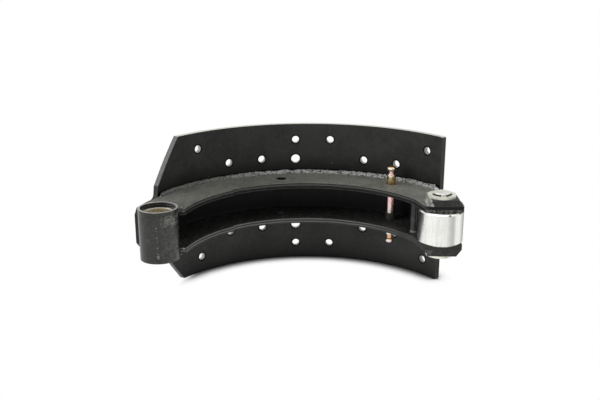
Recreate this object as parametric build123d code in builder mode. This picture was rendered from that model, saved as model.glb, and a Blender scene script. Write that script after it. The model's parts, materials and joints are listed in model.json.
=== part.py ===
from build123d import *

import os
from math import acos, atan2, cos, degrees, radians, sin, sqrt

os.makedirs("parts", exist_ok=True)

# Welded drum brake shoe with a fixed anchor end and a cam roller end.
# Millimetres. The origin is the middle of the anchor bore, +Z runs along that bore,
# +Y points from the drum axis through the middle of the lining, +X towards the roller.
# Angles are counted at the drum axis from +Y, positive towards the roller.

# Where the anchor bore and the roller stand
anchor_angle = -80.9
roller_inset = 29.3
roller_angle = 66.2

# Shoe table, the rolled plate that carries the lining
table_inner_radius = 180.0
table_thickness = 6.0
table_width = 167.0
table_cam_end_angle = 52.3
table_corner_radius = 2.0

# Anchor end of the table: two slanting cuts that leave a narrow tongue
taper_start_angle = -54.6
taper_end_angle = -66.1
taper_end_width = 70.0
tongue_root_angle = -66.8
tongue_width = 43.0
tongue_end_angle = -79.0
tongue_bevel = 6.0
tongue_root_radius = 6.0
taper_end_radius = 3.0

# Lining holes: eight columns, each with an outer or an inner pair
column_count = 8
rivet_pitch_angle = 13.03
rivet_hole_diameter = 8.5
outer_row_spacing = 129.4
inner_row_spacing = 84.9
outer_columns = (0, 3, 4, 7)
locating_hole_diameter = 10.5
locating_row_spacing = 82.4
locating_column = 3

# Webs, the two ribs that tie the table to the anchor and the roller
web_thickness = 6.0
web_gap = 36.0
web_depth = 48.0
web_step_angle = -40.9
web_step = 2.7
web_waist_angle = 8.0
web_inner_end_angle = 57.0
web_toe_angle = -77.3
web_heel_angle = -74.4
web_flank_angle = 53.4
web_seat_gap = 0.1
web_hole_diameter = 10.0
web_hole_inset = 24.2
web_hole_angle = -13.4

# Roller end of each web, measured from the roller axis
tip_front = 15.0
tip_inner_reach = 18.8
tip_nose_radius = 22.0
tip_corner_radius = 3.0

# Pads that thicken the webs round the roller pin
pad_thickness = 7.0
pad_inner_reach = 14.5
pad_outer_reach = 20.8
pad_end_slope = 5.0
pad_depth = 30.0
pad_seat_gap = 0.02
pad_edge_radius = 0.8

# Anchor bush and the boss that holds it, with a seal seat in each mouth
bush_bore = 30.0
bush_wall = 2.0
bush_seat_gap = 0.02
boss_wall = 3.5
boss_length = 54.6
boss_seat_gap = 0.1
boss_table_gap = 2.0
seal_seat_step = 0.6
seal_seat_depth = 2.5
seal_seat_chamfer = 0.8
seal_seat_to_bush = 2.8

# Cam roller, its pin, washers and circlips
roller_diameter = 47.7
roller_end_clearance = 0.3
roller_chamfer = 1.4
roller_running_clearance = 0.05
pin_diameter = 18.0
pin_hole_clearance = 0.05
pin_end_length = 1.3
pin_chamfer = 0.7
washer_diameter = 29.6
washer_thickness = 2.5
washer_hole_clearance = 0.25
clip_thickness = 1.2
clip_groove_depth = 0.5
clip_groove_clearance = 0.05
clip_narrow_band = 1.4
clip_wide_band = 2.6
clip_lug_radius = 1.8
clip_lug_spacing = 4.2
clip_turn = 3.0

# Return spring pin, put in from above, and the collar that holds it
spring_pin_inset = 19.6
spring_pin_angle = 34.3
spring_pin_shank = 8.4
spring_head_step = 0.6
spring_neck_groove = 0.9
spring_pin_half_length = 44.5
spring_head_length = 4.5
spring_neck_length = 4.6
spring_pin_clearance = 0.05
spring_pin_chamfer = 0.6
collar_wall = 1.2
collar_height = 8.0
collar_seat_gap = 0.02

# Round bar that spaces the webs beside the roller
spacer_diameter = 7.0
spacer_inset = 37.3
spacer_angle = 52.1

# Fillet welds
table_weld_leg = 3.5
table_weld_start_angle = -65.4
table_weld_end_angle = 51.2
boss_weld_leg = 2.6
weld_clearance = 0.05

# Cutting tools reach this far past what they cut
overcut = 20.0

# Places worked out from the sizes above
boss_bore = bush_bore + 2 * bush_wall
boss_diameter = boss_bore + 2 * boss_wall
bush_length = boss_length - 2 * (seal_seat_depth + seal_seat_to_bush)
seal_seat_diameter = boss_bore + 2 * seal_seat_step
spring_pin_head = spring_pin_shank + 2 * spring_head_step
spring_pin_neck = spring_pin_shank - 2 * spring_neck_groove
collar_diameter = spring_pin_shank + 2 * collar_wall
anchor_pitch_radius = table_inner_radius - boss_table_gap - boss_diameter / 2
roller_pitch_radius = table_inner_radius - roller_inset
web_inner_radius = table_inner_radius - web_depth
web_hole_radius = table_inner_radius - web_hole_inset
spring_pin_radius = table_inner_radius - spring_pin_inset
spacer_radius = table_inner_radius - spacer_inset
drum_x = -anchor_pitch_radius * sin(radians(anchor_angle))
drum_y = -anchor_pitch_radius * cos(radians(anchor_angle))
drum_axis = Axis((drum_x, drum_y, 0), (0, 0, 1))
table_middle_radius = table_inner_radius + table_thickness / 2
table_outer_radius = table_inner_radius + table_thickness
web_outer_radius = table_inner_radius - web_seat_gap
web_top = web_gap / 2 + web_thickness
pad_base = web_top + pad_seat_gap
pad_top = pad_base + pad_thickness
washer_top = pad_top + washer_thickness
clip_top = washer_top + clip_thickness
pin_half_length = clip_top + clip_groove_clearance + pin_end_length
roller_length = web_gap - 2 * roller_end_clearance
clip_inner_radius = pin_diameter / 2 - clip_groove_depth + clip_groove_clearance


def at_drum(radius, angle):
    # A point on a level plane whose origin is the drum axis.
    return (radius * sin(radians(angle)), radius * cos(radians(angle)))


def drum_plane(level):
    return Plane(origin=(drum_x, drum_y, level))


def radial_plane(angle):
    # A standing plane through the drum axis: its X is the radius, its Y is up.
    radius_x, radius_y = at_drum(1, angle)
    return Plane(
        origin=(drum_x, drum_y, 0),
        x_dir=(radius_x, radius_y, 0),
        z_dir=(radius_y, -radius_x, 0),
    )


def facing_plane(angle, radius, level=0.0):
    # A plane square to the radius: its X is level and points to the anchor, its Y is up.
    radius_x, radius_y = at_drum(1, angle)
    return Plane(
        origin=(drum_x + radius * radius_x, drum_y + radius * radius_y, level),
        x_dir=(-radius_y, radius_x, 0),
        z_dir=(radius_x, radius_y, 0),
    )


anchor_local = at_drum(anchor_pitch_radius, anchor_angle)
roller_local = at_drum(roller_pitch_radius, roller_angle)
roller_x = drum_x + roller_local[0]
roller_y = drum_y + roller_local[1]

# Shoe table: rolled plate, cut down to a tongue at the anchor end
taper_view_angle = (taper_start_angle + tongue_root_angle) / 2


def taper_offset(angle):
    # Level distance of a place on the table from the middle of the taper's plane.
    return table_middle_radius * sin(radians(taper_view_angle - angle))


with BuildPart() as shoe_table:
    with BuildSketch(radial_plane(table_cam_end_angle)):
        with Locations((table_middle_radius, 0)):
            Rectangle(table_thickness, table_width)
    revolve(axis=drum_axis, revolution_arc=table_cam_end_angle - tongue_end_angle)
    cam_end_corners = shoe_table.edges().filter_by(
        lambda edge: edge.length < table_thickness + 0.01 and edge.center().X > drum_x
    )
    fillet(cam_end_corners, radius=table_corner_radius)
    # The slanting cut above the tongue and its mirror image below
    taper_slope = (taper_offset(taper_end_angle) - taper_offset(taper_start_angle)) / (
        (table_width - taper_end_width) / 2
    )
    past_tongue = taper_offset(tongue_end_angle) + overcut
    with BuildSketch(facing_plane(taper_view_angle, table_middle_radius)) as taper_cut:
        with BuildLine():
            Polyline(
                (taper_offset(taper_start_angle) - overcut * taper_slope, table_width / 2 + overcut),
                (taper_offset(taper_end_angle), taper_end_width / 2),
                (taper_offset(tongue_root_angle), tongue_width / 2),
                (past_tongue, tongue_width / 2),
                (past_tongue, table_width / 2 + overcut),
                close=True,
            )
        make_face()
        fillet(taper_cut.vertices().sort_by(Axis.X)[2], radius=tongue_root_radius)
        fillet(taper_cut.vertices().sort_by(Axis.X)[1], radius=taper_end_radius)
        mirror(about=Plane.XZ)
    extrude(amount=overcut, both=True, mode=Mode.SUBTRACT)
    # Bevelled corners of the tongue
    with BuildSketch(facing_plane(tongue_end_angle, table_middle_radius)):
        Polygon(
            (-tongue_bevel, tongue_width / 2),
            (overcut, tongue_width / 2 - tongue_bevel - overcut),
            (overcut, tongue_width / 2),
            align=None,
        )
        mirror(about=Plane.XZ)
    extrude(amount=table_thickness, both=True, mode=Mode.SUBTRACT)
    # Lining holes, each square to the plate
    for column in range(column_count):
        column_angle = (column - (column_count - 1) / 2) * rivet_pitch_angle
        row_spacing = outer_row_spacing if column in outer_columns else inner_row_spacing
        for side in (1, -1):
            with Locations(facing_plane(column_angle, table_outer_radius, side * row_spacing / 2)):
                Hole(rivet_hole_diameter / 2, depth=2 * table_thickness)
    locating_angle = (locating_column - (column_count - 1) / 2) * rivet_pitch_angle
    for side in (1, -1):
        with Locations(facing_plane(locating_angle, table_outer_radius, side * locating_row_spacing / 2)):
            Hole(locating_hole_diameter / 2, depth=2 * table_thickness)
shoe_table.part.label = "shoe_table"
export_step(shoe_table.part, "parts/shoe_table.step")

# Outline of a web: inner edge, roller nose, outer edge under the table, anchor end
tip_x, tip_y = roller_local
tip_edge_y = tip_y - tip_front
flank_end = at_drum(web_outer_radius, web_flank_angle)
flank_length = sqrt((flank_end[0] - tip_x) ** 2 + (flank_end[1] - tip_y) ** 2)
flank_bearing = atan2(flank_end[1] - tip_y, flank_end[0] - tip_x)
nose_bearing = flank_bearing - acos(tip_nose_radius / flank_length)


def at_nose(bearing):
    # A point on the round nose, at a bearing in radians from the roller axis.
    return (tip_x + tip_nose_radius * cos(bearing), tip_y + tip_nose_radius * sin(bearing))


def web_outline(level):
    step_foot = at_drum(web_inner_radius, web_step_angle)
    step_head = at_drum(web_inner_radius + web_step, web_step_angle)
    toe_middle_angle = (web_toe_angle + web_step_angle) / 2
    with BuildSketch(drum_plane(level)) as outline:
        with BuildLine():
            ThreePointArc(
                at_drum(web_inner_radius, web_toe_angle),
                at_drum(web_inner_radius, toe_middle_angle),
                step_foot,
            )
            Line(step_foot, step_head)
            ThreePointArc(
                step_head,
                at_drum(web_inner_radius, web_waist_angle),
                at_drum(web_inner_radius, web_inner_end_angle),
            )
            Polyline(
                at_drum(web_inner_radius, web_inner_end_angle),
                (tip_x - tip_inner_reach, tip_edge_y),
                (tip_x + tip_nose_radius, tip_edge_y),
                at_nose(0),
            )
            ThreePointArc(at_nose(0), at_nose(nose_bearing / 2), at_nose(nose_bearing))
            Line(at_nose(nose_bearing), flank_end)
            ThreePointArc(
                flank_end,
                at_drum(web_outer_radius, 0),
                at_drum(web_outer_radius, web_heel_angle),
            )
            Polyline(
                at_drum(web_outer_radius, web_heel_angle),
                at_drum(anchor_pitch_radius, web_heel_angle),
                anchor_local,
                at_drum(web_inner_radius, web_toe_angle),
            )
        make_face()
        tip_corners = outline.vertices().filter_by(lambda corner: abs(corner.Y - tip_edge_y) < 0.01)
        fillet(tip_corners, radius=tip_corner_radius)
        with Locations(anchor_local):
            Circle(boss_diameter / 2 + boss_seat_gap, mode=Mode.SUBTRACT)
        with Locations(at_drum(web_hole_radius, web_hole_angle)):
            Circle(web_hole_diameter / 2, mode=Mode.SUBTRACT)
        with Locations(roller_local):
            Circle(pin_diameter / 2 + pin_hole_clearance, mode=Mode.SUBTRACT)
        with Locations(at_drum(spring_pin_radius, spring_pin_angle)):
            Circle(spring_pin_shank / 2 + spring_pin_clearance, mode=Mode.SUBTRACT)
    return outline.sketch


with BuildPart() as upper_web:
    extrude(web_outline(web_gap / 2), amount=web_thickness)
upper_web.part.label = "upper_web"
export_step(upper_web.part, "parts/upper_web.step")

with BuildPart() as lower_web:
    extrude(web_outline(-web_gap / 2), amount=-web_thickness)
lower_web.part.label = "lower_web"
export_step(lower_web.part, "parts/lower_web.step")

# Anchor boss: a tube with a seal seat in each mouth
boss_end = boss_length / 2

with BuildPart() as anchor_boss:
    with BuildSketch(Plane.XZ):
        with BuildLine():
            Polyline(
                (boss_bore / 2, seal_seat_depth - boss_end),
                (boss_bore / 2, boss_end - seal_seat_depth),
                (seal_seat_diameter / 2, boss_end - seal_seat_depth),
                (seal_seat_diameter / 2, boss_end - seal_seat_chamfer),
                (seal_seat_diameter / 2 + seal_seat_chamfer, boss_end),
                (boss_diameter / 2, boss_end),
                (boss_diameter / 2, -boss_end),
                (seal_seat_diameter / 2 + seal_seat_chamfer, -boss_end),
                (seal_seat_diameter / 2, seal_seat_chamfer - boss_end),
                (seal_seat_diameter / 2, seal_seat_depth - boss_end),
                close=True,
            )
        make_face()
    revolve(axis=Axis.Z)
anchor_boss.part.label = "anchor_boss"
export_step(anchor_boss.part, "parts/anchor_boss.step")

with BuildPart() as anchor_bush:
    Cylinder(boss_bore / 2 - bush_seat_gap, bush_length)
    Cylinder(bush_bore / 2, bush_length, mode=Mode.SUBTRACT)
anchor_bush.part.label = "anchor_bush"
export_step(anchor_bush.part, "parts/anchor_bush.step")


# Roller pads: flat bar with one slanting end, welded to the outside of each web
def pad_section(side):
    pad_front = Plane(origin=(roller_x, roller_y - tip_front, 0), x_dir=(1, 0, 0), z_dir=(0, -1, 0))
    with BuildSketch(pad_front) as section:
        Polygon(
            (-pad_inner_reach, side * pad_base),
            (pad_outer_reach, side * pad_base),
            (pad_outer_reach - pad_end_slope, side * pad_top),
            (-pad_inner_reach, side * pad_top),
            align=None,
        )
    return section.sketch


with BuildPart() as upper_roller_pad:
    extrude(pad_section(1), amount=-pad_depth)
    fillet(upper_roller_pad.faces().sort_by(Axis.Z)[-1].edges(), radius=pad_edge_radius)
    with Locations((roller_x, roller_y, pad_top)):
        Hole(pin_diameter / 2 + pin_hole_clearance)
upper_roller_pad.part.label = "upper_roller_pad"
export_step(upper_roller_pad.part, "parts/upper_roller_pad.step")

with BuildPart() as lower_roller_pad:
    extrude(pad_section(-1), amount=-pad_depth)
    fillet(lower_roller_pad.faces().sort_by(Axis.Z)[0].edges(), radius=pad_edge_radius)
    with Locations((roller_x, roller_y, -pad_base)):
        Hole(pin_diameter / 2 + pin_hole_clearance)
lower_roller_pad.part.label = "lower_roller_pad"
export_step(lower_roller_pad.part, "parts/lower_roller_pad.step")

# Cam roller: turns freely on its pin between the webs
with BuildPart() as cam_roller:
    with Locations((roller_x, roller_y, 0)):
        Cylinder(roller_diameter / 2, roller_length)
        Cylinder(pin_diameter / 2 + roller_running_clearance, roller_length, mode=Mode.SUBTRACT)
    chamfer(cam_roller.edges().filter_by(GeomType.CIRCLE).sort_by(SortBy.RADIUS)[-2:], length=roller_chamfer)
cam_roller.part.label = "cam_roller"
export_step(cam_roller.part, "parts/cam_roller.step")

# Roller pin: plain bar with a circlip groove near each end
with BuildPart() as roller_pin:
    with Locations((roller_x, roller_y, 0)):
        Cylinder(pin_diameter / 2, 2 * pin_half_length)
    chamfer(roller_pin.edges().filter_by(GeomType.CIRCLE), length=pin_chamfer)
    for side in (1, -1):
        groove_middle = side * (washer_top + clip_top) / 2
        with BuildSketch(Plane(origin=(roller_x, roller_y, groove_middle))):
            Circle(pin_diameter / 2)
            Circle(pin_diameter / 2 - clip_groove_depth, mode=Mode.SUBTRACT)
        extrude(amount=clip_thickness / 2 + clip_groove_clearance, both=True, mode=Mode.SUBTRACT)
roller_pin.part.label = "roller_pin"
export_step(roller_pin.part, "parts/roller_pin.step")


# Washers, one under each circlip
def washer_ring(level):
    with BuildSketch(Plane(origin=(roller_x, roller_y, level))) as ring:
        Circle(washer_diameter / 2)
        Circle(pin_diameter / 2 + washer_hole_clearance, mode=Mode.SUBTRACT)
    return ring.sketch


with BuildPart() as upper_washer:
    extrude(washer_ring(pad_top), amount=washer_thickness)
upper_washer.part.label = "upper_washer"
export_step(upper_washer.part, "parts/upper_washer.step")

with BuildPart() as lower_washer:
    extrude(washer_ring(-pad_top), amount=-washer_thickness)
lower_washer.part.label = "lower_washer"
export_step(lower_washer.part, "parts/lower_washer.step")


# Circlips: the band widens away from the mouth, where two lugs face the front
def circlip_outline(level):
    clip_plane = Plane(origin=(roller_x, roller_y, level)).rotated((0, 0, clip_turn))
    lug_reach = clip_inner_radius + clip_lug_radius
    lug_y = -sqrt(lug_reach**2 - (clip_lug_spacing / 2) ** 2)
    lug_places = [(-clip_lug_spacing / 2, lug_y), (clip_lug_spacing / 2, lug_y)]
    with BuildSketch(clip_plane) as outline:
        with Locations((0, (clip_wide_band - clip_narrow_band) / 2)):
            Circle(clip_inner_radius + (clip_wide_band + clip_narrow_band) / 2)
        with Locations(*lug_places):
            Circle(clip_lug_radius)
        Circle(clip_inner_radius, mode=Mode.SUBTRACT)
        with Locations((0, lug_y)):
            Rectangle(clip_lug_spacing - 2 * clip_lug_radius, 4 * clip_lug_radius, mode=Mode.SUBTRACT)
    return outline.sketch


with BuildPart() as upper_circlip:
    extrude(circlip_outline(washer_top), amount=clip_thickness)
upper_circlip.part.label = "upper_circlip"
export_step(upper_circlip.part, "parts/upper_circlip.step")

with BuildPart() as lower_circlip:
    extrude(circlip_outline(-washer_top), amount=-clip_thickness)
lower_circlip.part.label = "lower_circlip"
export_step(lower_circlip.part, "parts/lower_circlip.step")

# Return spring pin: turned bar with a spring groove near each end
spring_pin_local = at_drum(spring_pin_radius, spring_pin_angle)
spring_pin_x = drum_x + spring_pin_local[0]
spring_pin_y = drum_y + spring_pin_local[1]
spring_neck_end = spring_pin_half_length - spring_head_length
spring_neck_start = spring_neck_end - spring_neck_length

with BuildPart() as spring_pin:
    with BuildSketch(Plane(origin=(spring_pin_x, spring_pin_y, 0), x_dir=(1, 0, 0), z_dir=(0, -1, 0))):
        with BuildLine():
            Polyline(
                (0, spring_pin_half_length),
                (spring_pin_head / 2 - spring_pin_chamfer, spring_pin_half_length),
                (spring_pin_head / 2, spring_pin_half_length - spring_pin_chamfer),
                (spring_pin_head / 2, spring_neck_end),
                (spring_pin_neck / 2, spring_neck_end),
                (spring_pin_neck / 2, spring_neck_start),
                (spring_pin_head / 2, spring_neck_start),
                (spring_pin_head / 2, web_top),
                (spring_pin_shank / 2, web_top),
                (spring_pin_shank / 2, -spring_neck_start),
                (spring_pin_neck / 2, -spring_neck_start),
                (spring_pin_neck / 2, -spring_neck_end),
                (spring_pin_shank / 2, -spring_neck_end),
                (spring_pin_shank / 2, spring_pin_chamfer - spring_pin_half_length),
                (spring_pin_shank / 2 - spring_pin_chamfer, -spring_pin_half_length),
                (0, -spring_pin_half_length),
                close=True,
            )
        make_face()
    revolve(axis=Axis((spring_pin_x, spring_pin_y, 0), (0, 0, 1)))
spring_pin.part.label = "spring_pin"
export_step(spring_pin.part, "parts/spring_pin.step")

with BuildPart() as spring_pin_collar:
    with BuildSketch(Plane(origin=(spring_pin_x, spring_pin_y, collar_seat_gap - web_gap / 2))):
        Circle(collar_diameter / 2)
        Circle(spring_pin_shank / 2 + spring_pin_clearance, mode=Mode.SUBTRACT)
    extrude(amount=collar_height)
spring_pin_collar.part.label = "spring_pin_collar"
export_step(spring_pin_collar.part, "parts/spring_pin_collar.step")

# Spacer rod between the webs
with BuildPart() as spacer_rod:
    with BuildSketch(drum_plane(-web_gap / 2)):
        with Locations(at_drum(spacer_radius, spacer_angle)):
            Circle(spacer_diameter / 2)
    extrude(amount=web_gap)
spacer_rod.part.label = "spacer_rod"
export_step(spacer_rod.part, "parts/spacer_rod.step")


# Fillet welds between the outer face of each web and the table
def table_weld_section(side):
    root_radius = table_inner_radius - weld_clearance
    with BuildSketch(radial_plane(table_weld_end_angle)) as section:
        Polygon(
            (root_radius, side * web_top),
            (root_radius - table_weld_leg, side * web_top),
            (root_radius, side * (web_top + table_weld_leg)),
            align=None,
        )
    return section.sketch


table_weld_sweep = table_weld_end_angle - table_weld_start_angle

with BuildPart() as upper_table_weld:
    revolve(table_weld_section(1), axis=drum_axis, revolution_arc=table_weld_sweep)
upper_table_weld.part.label = "upper_table_weld"
export_step(upper_table_weld.part, "parts/upper_table_weld.step")

with BuildPart() as lower_table_weld:
    revolve(table_weld_section(-1), axis=drum_axis, revolution_arc=table_weld_sweep)
lower_table_weld.part.label = "lower_table_weld"
export_step(lower_table_weld.part, "parts/lower_table_weld.step")


# Fillet welds where each web wraps the anchor boss
def anchor_bearing(radius, angle):
    # Bearing of a web corner in radians, seen from the anchor axis.
    corner = at_drum(radius, angle)
    return atan2(corner[1] - anchor_local[1], corner[0] - anchor_local[0])


boss_weld_start = anchor_bearing(web_inner_radius, web_toe_angle)
boss_weld_end = anchor_bearing(web_outer_radius, web_heel_angle)


def boss_weld_section(side):
    root_radius = boss_diameter / 2 + weld_clearance
    start_plane = Plane(
        origin=(0, 0, 0),
        x_dir=(cos(boss_weld_start), sin(boss_weld_start), 0),
        z_dir=(sin(boss_weld_start), -cos(boss_weld_start), 0),
    )
    with BuildSketch(start_plane) as section:
        Polygon(
            (root_radius, side * web_top),
            (root_radius + boss_weld_leg, side * web_top),
            (root_radius, side * (web_top + boss_weld_leg)),
            align=None,
        )
    return section.sketch


boss_weld_sweep = degrees(boss_weld_end - boss_weld_start)

with BuildPart() as upper_boss_weld:
    revolve(boss_weld_section(1), axis=Axis.Z, revolution_arc=boss_weld_sweep)
upper_boss_weld.part.label = "upper_boss_weld"
export_step(upper_boss_weld.part, "parts/upper_boss_weld.step")

with BuildPart() as lower_boss_weld:
    revolve(boss_weld_section(-1), axis=Axis.Z, revolution_arc=boss_weld_sweep)
lower_boss_weld.part.label = "lower_boss_weld"
export_step(lower_boss_weld.part, "parts/lower_boss_weld.step")
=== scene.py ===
import json
import math
import random

import bmesh
import bpy
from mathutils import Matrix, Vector, noise


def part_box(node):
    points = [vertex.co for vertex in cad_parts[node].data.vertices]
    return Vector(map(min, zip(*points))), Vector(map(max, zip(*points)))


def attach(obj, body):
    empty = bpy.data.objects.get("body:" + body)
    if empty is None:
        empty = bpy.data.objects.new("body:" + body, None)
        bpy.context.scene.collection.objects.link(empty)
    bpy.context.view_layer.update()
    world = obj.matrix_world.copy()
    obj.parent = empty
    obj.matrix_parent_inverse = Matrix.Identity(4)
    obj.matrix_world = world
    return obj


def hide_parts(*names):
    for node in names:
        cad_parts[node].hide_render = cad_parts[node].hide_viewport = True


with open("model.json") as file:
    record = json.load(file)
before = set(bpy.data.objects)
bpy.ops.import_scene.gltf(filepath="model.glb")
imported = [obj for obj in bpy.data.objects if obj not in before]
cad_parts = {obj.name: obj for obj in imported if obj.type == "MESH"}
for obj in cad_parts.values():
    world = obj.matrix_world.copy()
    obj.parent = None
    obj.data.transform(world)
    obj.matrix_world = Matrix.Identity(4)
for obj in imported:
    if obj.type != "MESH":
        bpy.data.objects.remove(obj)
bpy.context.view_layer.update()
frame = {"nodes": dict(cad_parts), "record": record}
scene = bpy.context.scene
nodes = frame["nodes"]
mm = 0.001

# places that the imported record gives, in metres
mountList = frame["record"]["mounts"]
mounts = {mount["name"]: Vector(mount["pos_m"]) for mount in mountList}
liningRadius = 186 * mm
drumAxis = mounts["lining_seat"] - Vector((0, liningRadius, 0))
rollerAxis = mounts["cam_contact"]
print("frame loaded:", len(nodes), "nodes")

cameraSetup = {
    "place": (0.1702, -0.7703, 0.2705),
    "lookDown": 16.894,
    "turnLeft": 1.853,
    "lens": 47.77,
    "sensor": 36.0,
}


def addCamera(setup):
    data = bpy.data.cameras.new("photoCamera")
    data.lens = setup["lens"]
    data.sensor_width = setup["sensor"]
    data.sensor_fit = "HORIZONTAL"
    data.clip_start = 0.01
    camera = bpy.data.objects.new("photoCamera", data)
    camera.location = setup["place"]
    camera.rotation_euler = (math.radians(90 - setup["lookDown"]), 0, math.radians(setup["turnLeft"]))
    scene.collection.objects.link(camera)
    scene.camera = camera


addCamera(cameraSetup)
scene.view_settings.view_transform = "Standard"


# short cuts for node trees
def emptyTree(owner):
    owner.use_nodes = True
    owner.node_tree.nodes.clear()
    return owner.node_tree


def put(tree, kind, **settings):
    node = tree.nodes.new(kind)
    for name, value in settings.items():
        setattr(node, name, value)
    return node


def feed(value, socket):
    # a socket is linked, a plain number or colour is written on the socket itself
    if isinstance(value, bpy.types.NodeSocket):
        socket.id_data.links.new(value, socket)
    else:
        socket.default_value = (*value, 1) if socket.type == "RGBA" else value


def endWith(kind, shader):
    feed(shader.outputs[0], put(shader.id_data, kind).inputs["Surface"])


def treeOf(values):
    # the tree that holds the first socket among these values
    return next(value for value in values if isinstance(value, bpy.types.NodeSocket)).id_data


def calc(operation, first, second=0.0, clamp=False):
    node = put(treeOf((first, second)), "ShaderNodeMath", operation=operation, use_clamp=clamp)
    feed(first, node.inputs[0])
    feed(second, node.inputs[1])
    return node.outputs[0]


def times(product, *factors):
    for factor in factors:
        product = calc("MULTIPLY", product, factor)
    return product


def plus(first, second, clamp=False):
    return calc("ADD", first, second, clamp)


def minus(first, second):
    return calc("SUBTRACT", first, second)


def most(highest, *others):
    for other in others:
        highest = calc("MAXIMUM", highest, other)
    return highest


def vectorMath(operation, *values):
    node = put(treeOf(values), "ShaderNodeVectorMath", operation=operation)
    for value, socket in zip(values, node.inputs):
        feed(value, socket)
    return node.outputs


def dot(first, second):
    return vectorMath("DOT_PRODUCT", first, second)["Value"]


def lengthOf(vector):
    return vectorMath("LENGTH", vector)["Value"]


def stretched(vector, factors):
    return vectorMath("MULTIPLY", vector, factors)[0]


def place(tree):
    return put(tree, "ShaderNodeTexCoord").outputs["Object"]


def placeFrom(tree, spot):
    return vectorMath("SUBTRACT", place(tree), tuple(spot))[0]


def distanceTo(tree, spot):
    return vectorMath("DISTANCE", place(tree), tuple(spot))["Value"]


def axesOf(tree, vector=None):
    split = put(tree, "ShaderNodeSeparateXYZ")
    feed(place(tree) if vector is None else vector, split.inputs[0])
    return split.outputs


def spread(value, low, high, toLow=0.0, toHigh=1.0):
    # a soft step: value from low to high becomes toLow to toHigh
    node = put(value.id_data, "ShaderNodeMapRange", interpolation_type="SMOOTHSTEP")
    feed(value, node.inputs["Value"])
    node.inputs["From Min"].default_value = low
    node.inputs["From Max"].default_value = high
    node.inputs["To Min"].default_value = toLow
    node.inputs["To Max"].default_value = toHigh
    return node.outputs[0]


def within(value, low, high, soft=0.25 * mm):
    # one between two values, with soft ends
    rise = spread(value, low - soft, low + soft)
    return times(rise, spread(value, high + soft, high - soft))


def blendColor(factor, first, second, kind="MIX"):
    node = put(treeOf((factor, first, second)), "ShaderNodeMix", data_type="RGBA", blend_type=kind)
    feed(factor, node.inputs[0])
    feed(first, node.inputs[6])
    feed(second, node.inputs[7])
    return node.outputs[2]


def cloud(tree, scale, detail=3.0, rough=0.55, vector=None):
    node = put(tree, "ShaderNodeTexNoise")
    feed(place(tree) if vector is None else vector, node.inputs["Vector"])
    feed(scale, node.inputs["Scale"])
    node.inputs["Detail"].default_value = detail
    node.inputs["Roughness"].default_value = rough
    return node.outputs["Fac"]


def wander(tree, reach, scale, detail=3.0, rough=0.55):
    # noise that strays to both sides of zero
    return times(minus(cloud(tree, scale, detail, rough), 0.5), reach)


def colorRamp(value, stops):
    node = put(value.id_data, "ShaderNodeValToRGB")
    ramp = node.color_ramp
    while len(ramp.elements) < len(stops):
        ramp.elements.new(0.5)
    for element, (position, color) in zip(ramp.elements, stops):
        element.position = position
        element.color = (*color, 1)
    feed(value, node.inputs[0])
    return node.outputs["Color"]


def closeTo(tree, spot, size, ragged=0.5):
    # a ragged spot around one place on the surface
    away = distanceTo(tree, spot)
    torn = wander(tree, size * ragged * 2, 0.6 / size)
    return spread(plus(away, torn), size, size * 0.55)


floatSocket = "NodeSocketFloat"
colorSocket = "NodeSocketColor"
vectorSocket = "NodeSocketVector"


def newGroup(name, inputs, outputs):
    tree = bpy.data.node_groups.new(name, "ShaderNodeTree")
    for label, kind, default in inputs:
        socket = tree.interface.new_socket(label, in_out="INPUT", socket_type=kind)
        socket.default_value = (*default, 1) if kind == colorSocket else default
    for label, kind in outputs:
        tree.interface.new_socket(label, in_out="OUTPUT", socket_type=kind)
    return tree, put(tree, "NodeGroupInput").outputs, put(tree, "NodeGroupOutput").inputs


def useGroup(tree, group, **values):
    node = put(tree, "ShaderNodeGroup", node_tree=group)
    for label, value in values.items():
        feed(value, node.inputs[label])
    return node.outputs


# effects that several finishes share
skinOutputs = [("color", colorSocket), ("roughness", floatSocket), ("height", floatSocket)]
grainLook = {
    "dustSpeck": (0.34, 0.33, 0.31),
    "pinhole": (0.004, 0.004, 0.004),
}


def makePaintGrain(look):
    # blotches, orange peel and fine speckle of thin sprayed paint
    tree, given, out = newGroup(
        "paintGrain",
        [
            ("dark", colorSocket, (0.02, 0.02, 0.02)),
            ("light", colorSocket, (0.05, 0.05, 0.05)),
            ("speckle", floatSocket, 0.3),
            ("speckleScale", floatSocket, 1400.0),
            ("dull", floatSocket, 0.45),
        ],
        skinOutputs,
    )
    blotch = cloud(tree, 22.0, 4.0)
    patch = cloud(tree, 130.0, 3.0)
    peel = cloud(tree, 520.0, 2.0)
    speck = cloud(tree, given["speckleScale"], 2.0, 0.7)
    body = plus(times(blotch, 0.6), times(patch, 0.4))
    color = blendColor(spread(body, 0.34, 0.66), given["dark"], given["light"])
    bright = times(spread(speck, 0.54, 0.74), given["speckle"])
    dim = times(spread(speck, 0.48, 0.28), given["speckle"])
    color = blendColor(bright, color, look["dustSpeck"])
    feed(blendColor(dim, color, look["pinhole"]), out["color"])
    swing = times(minus(patch, 0.5), 0.35)
    feed(plus(given["dull"], swing, True), out["roughness"])
    feed(plus(peel, times(speck, 0.6)), out["height"])
    return tree


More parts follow.
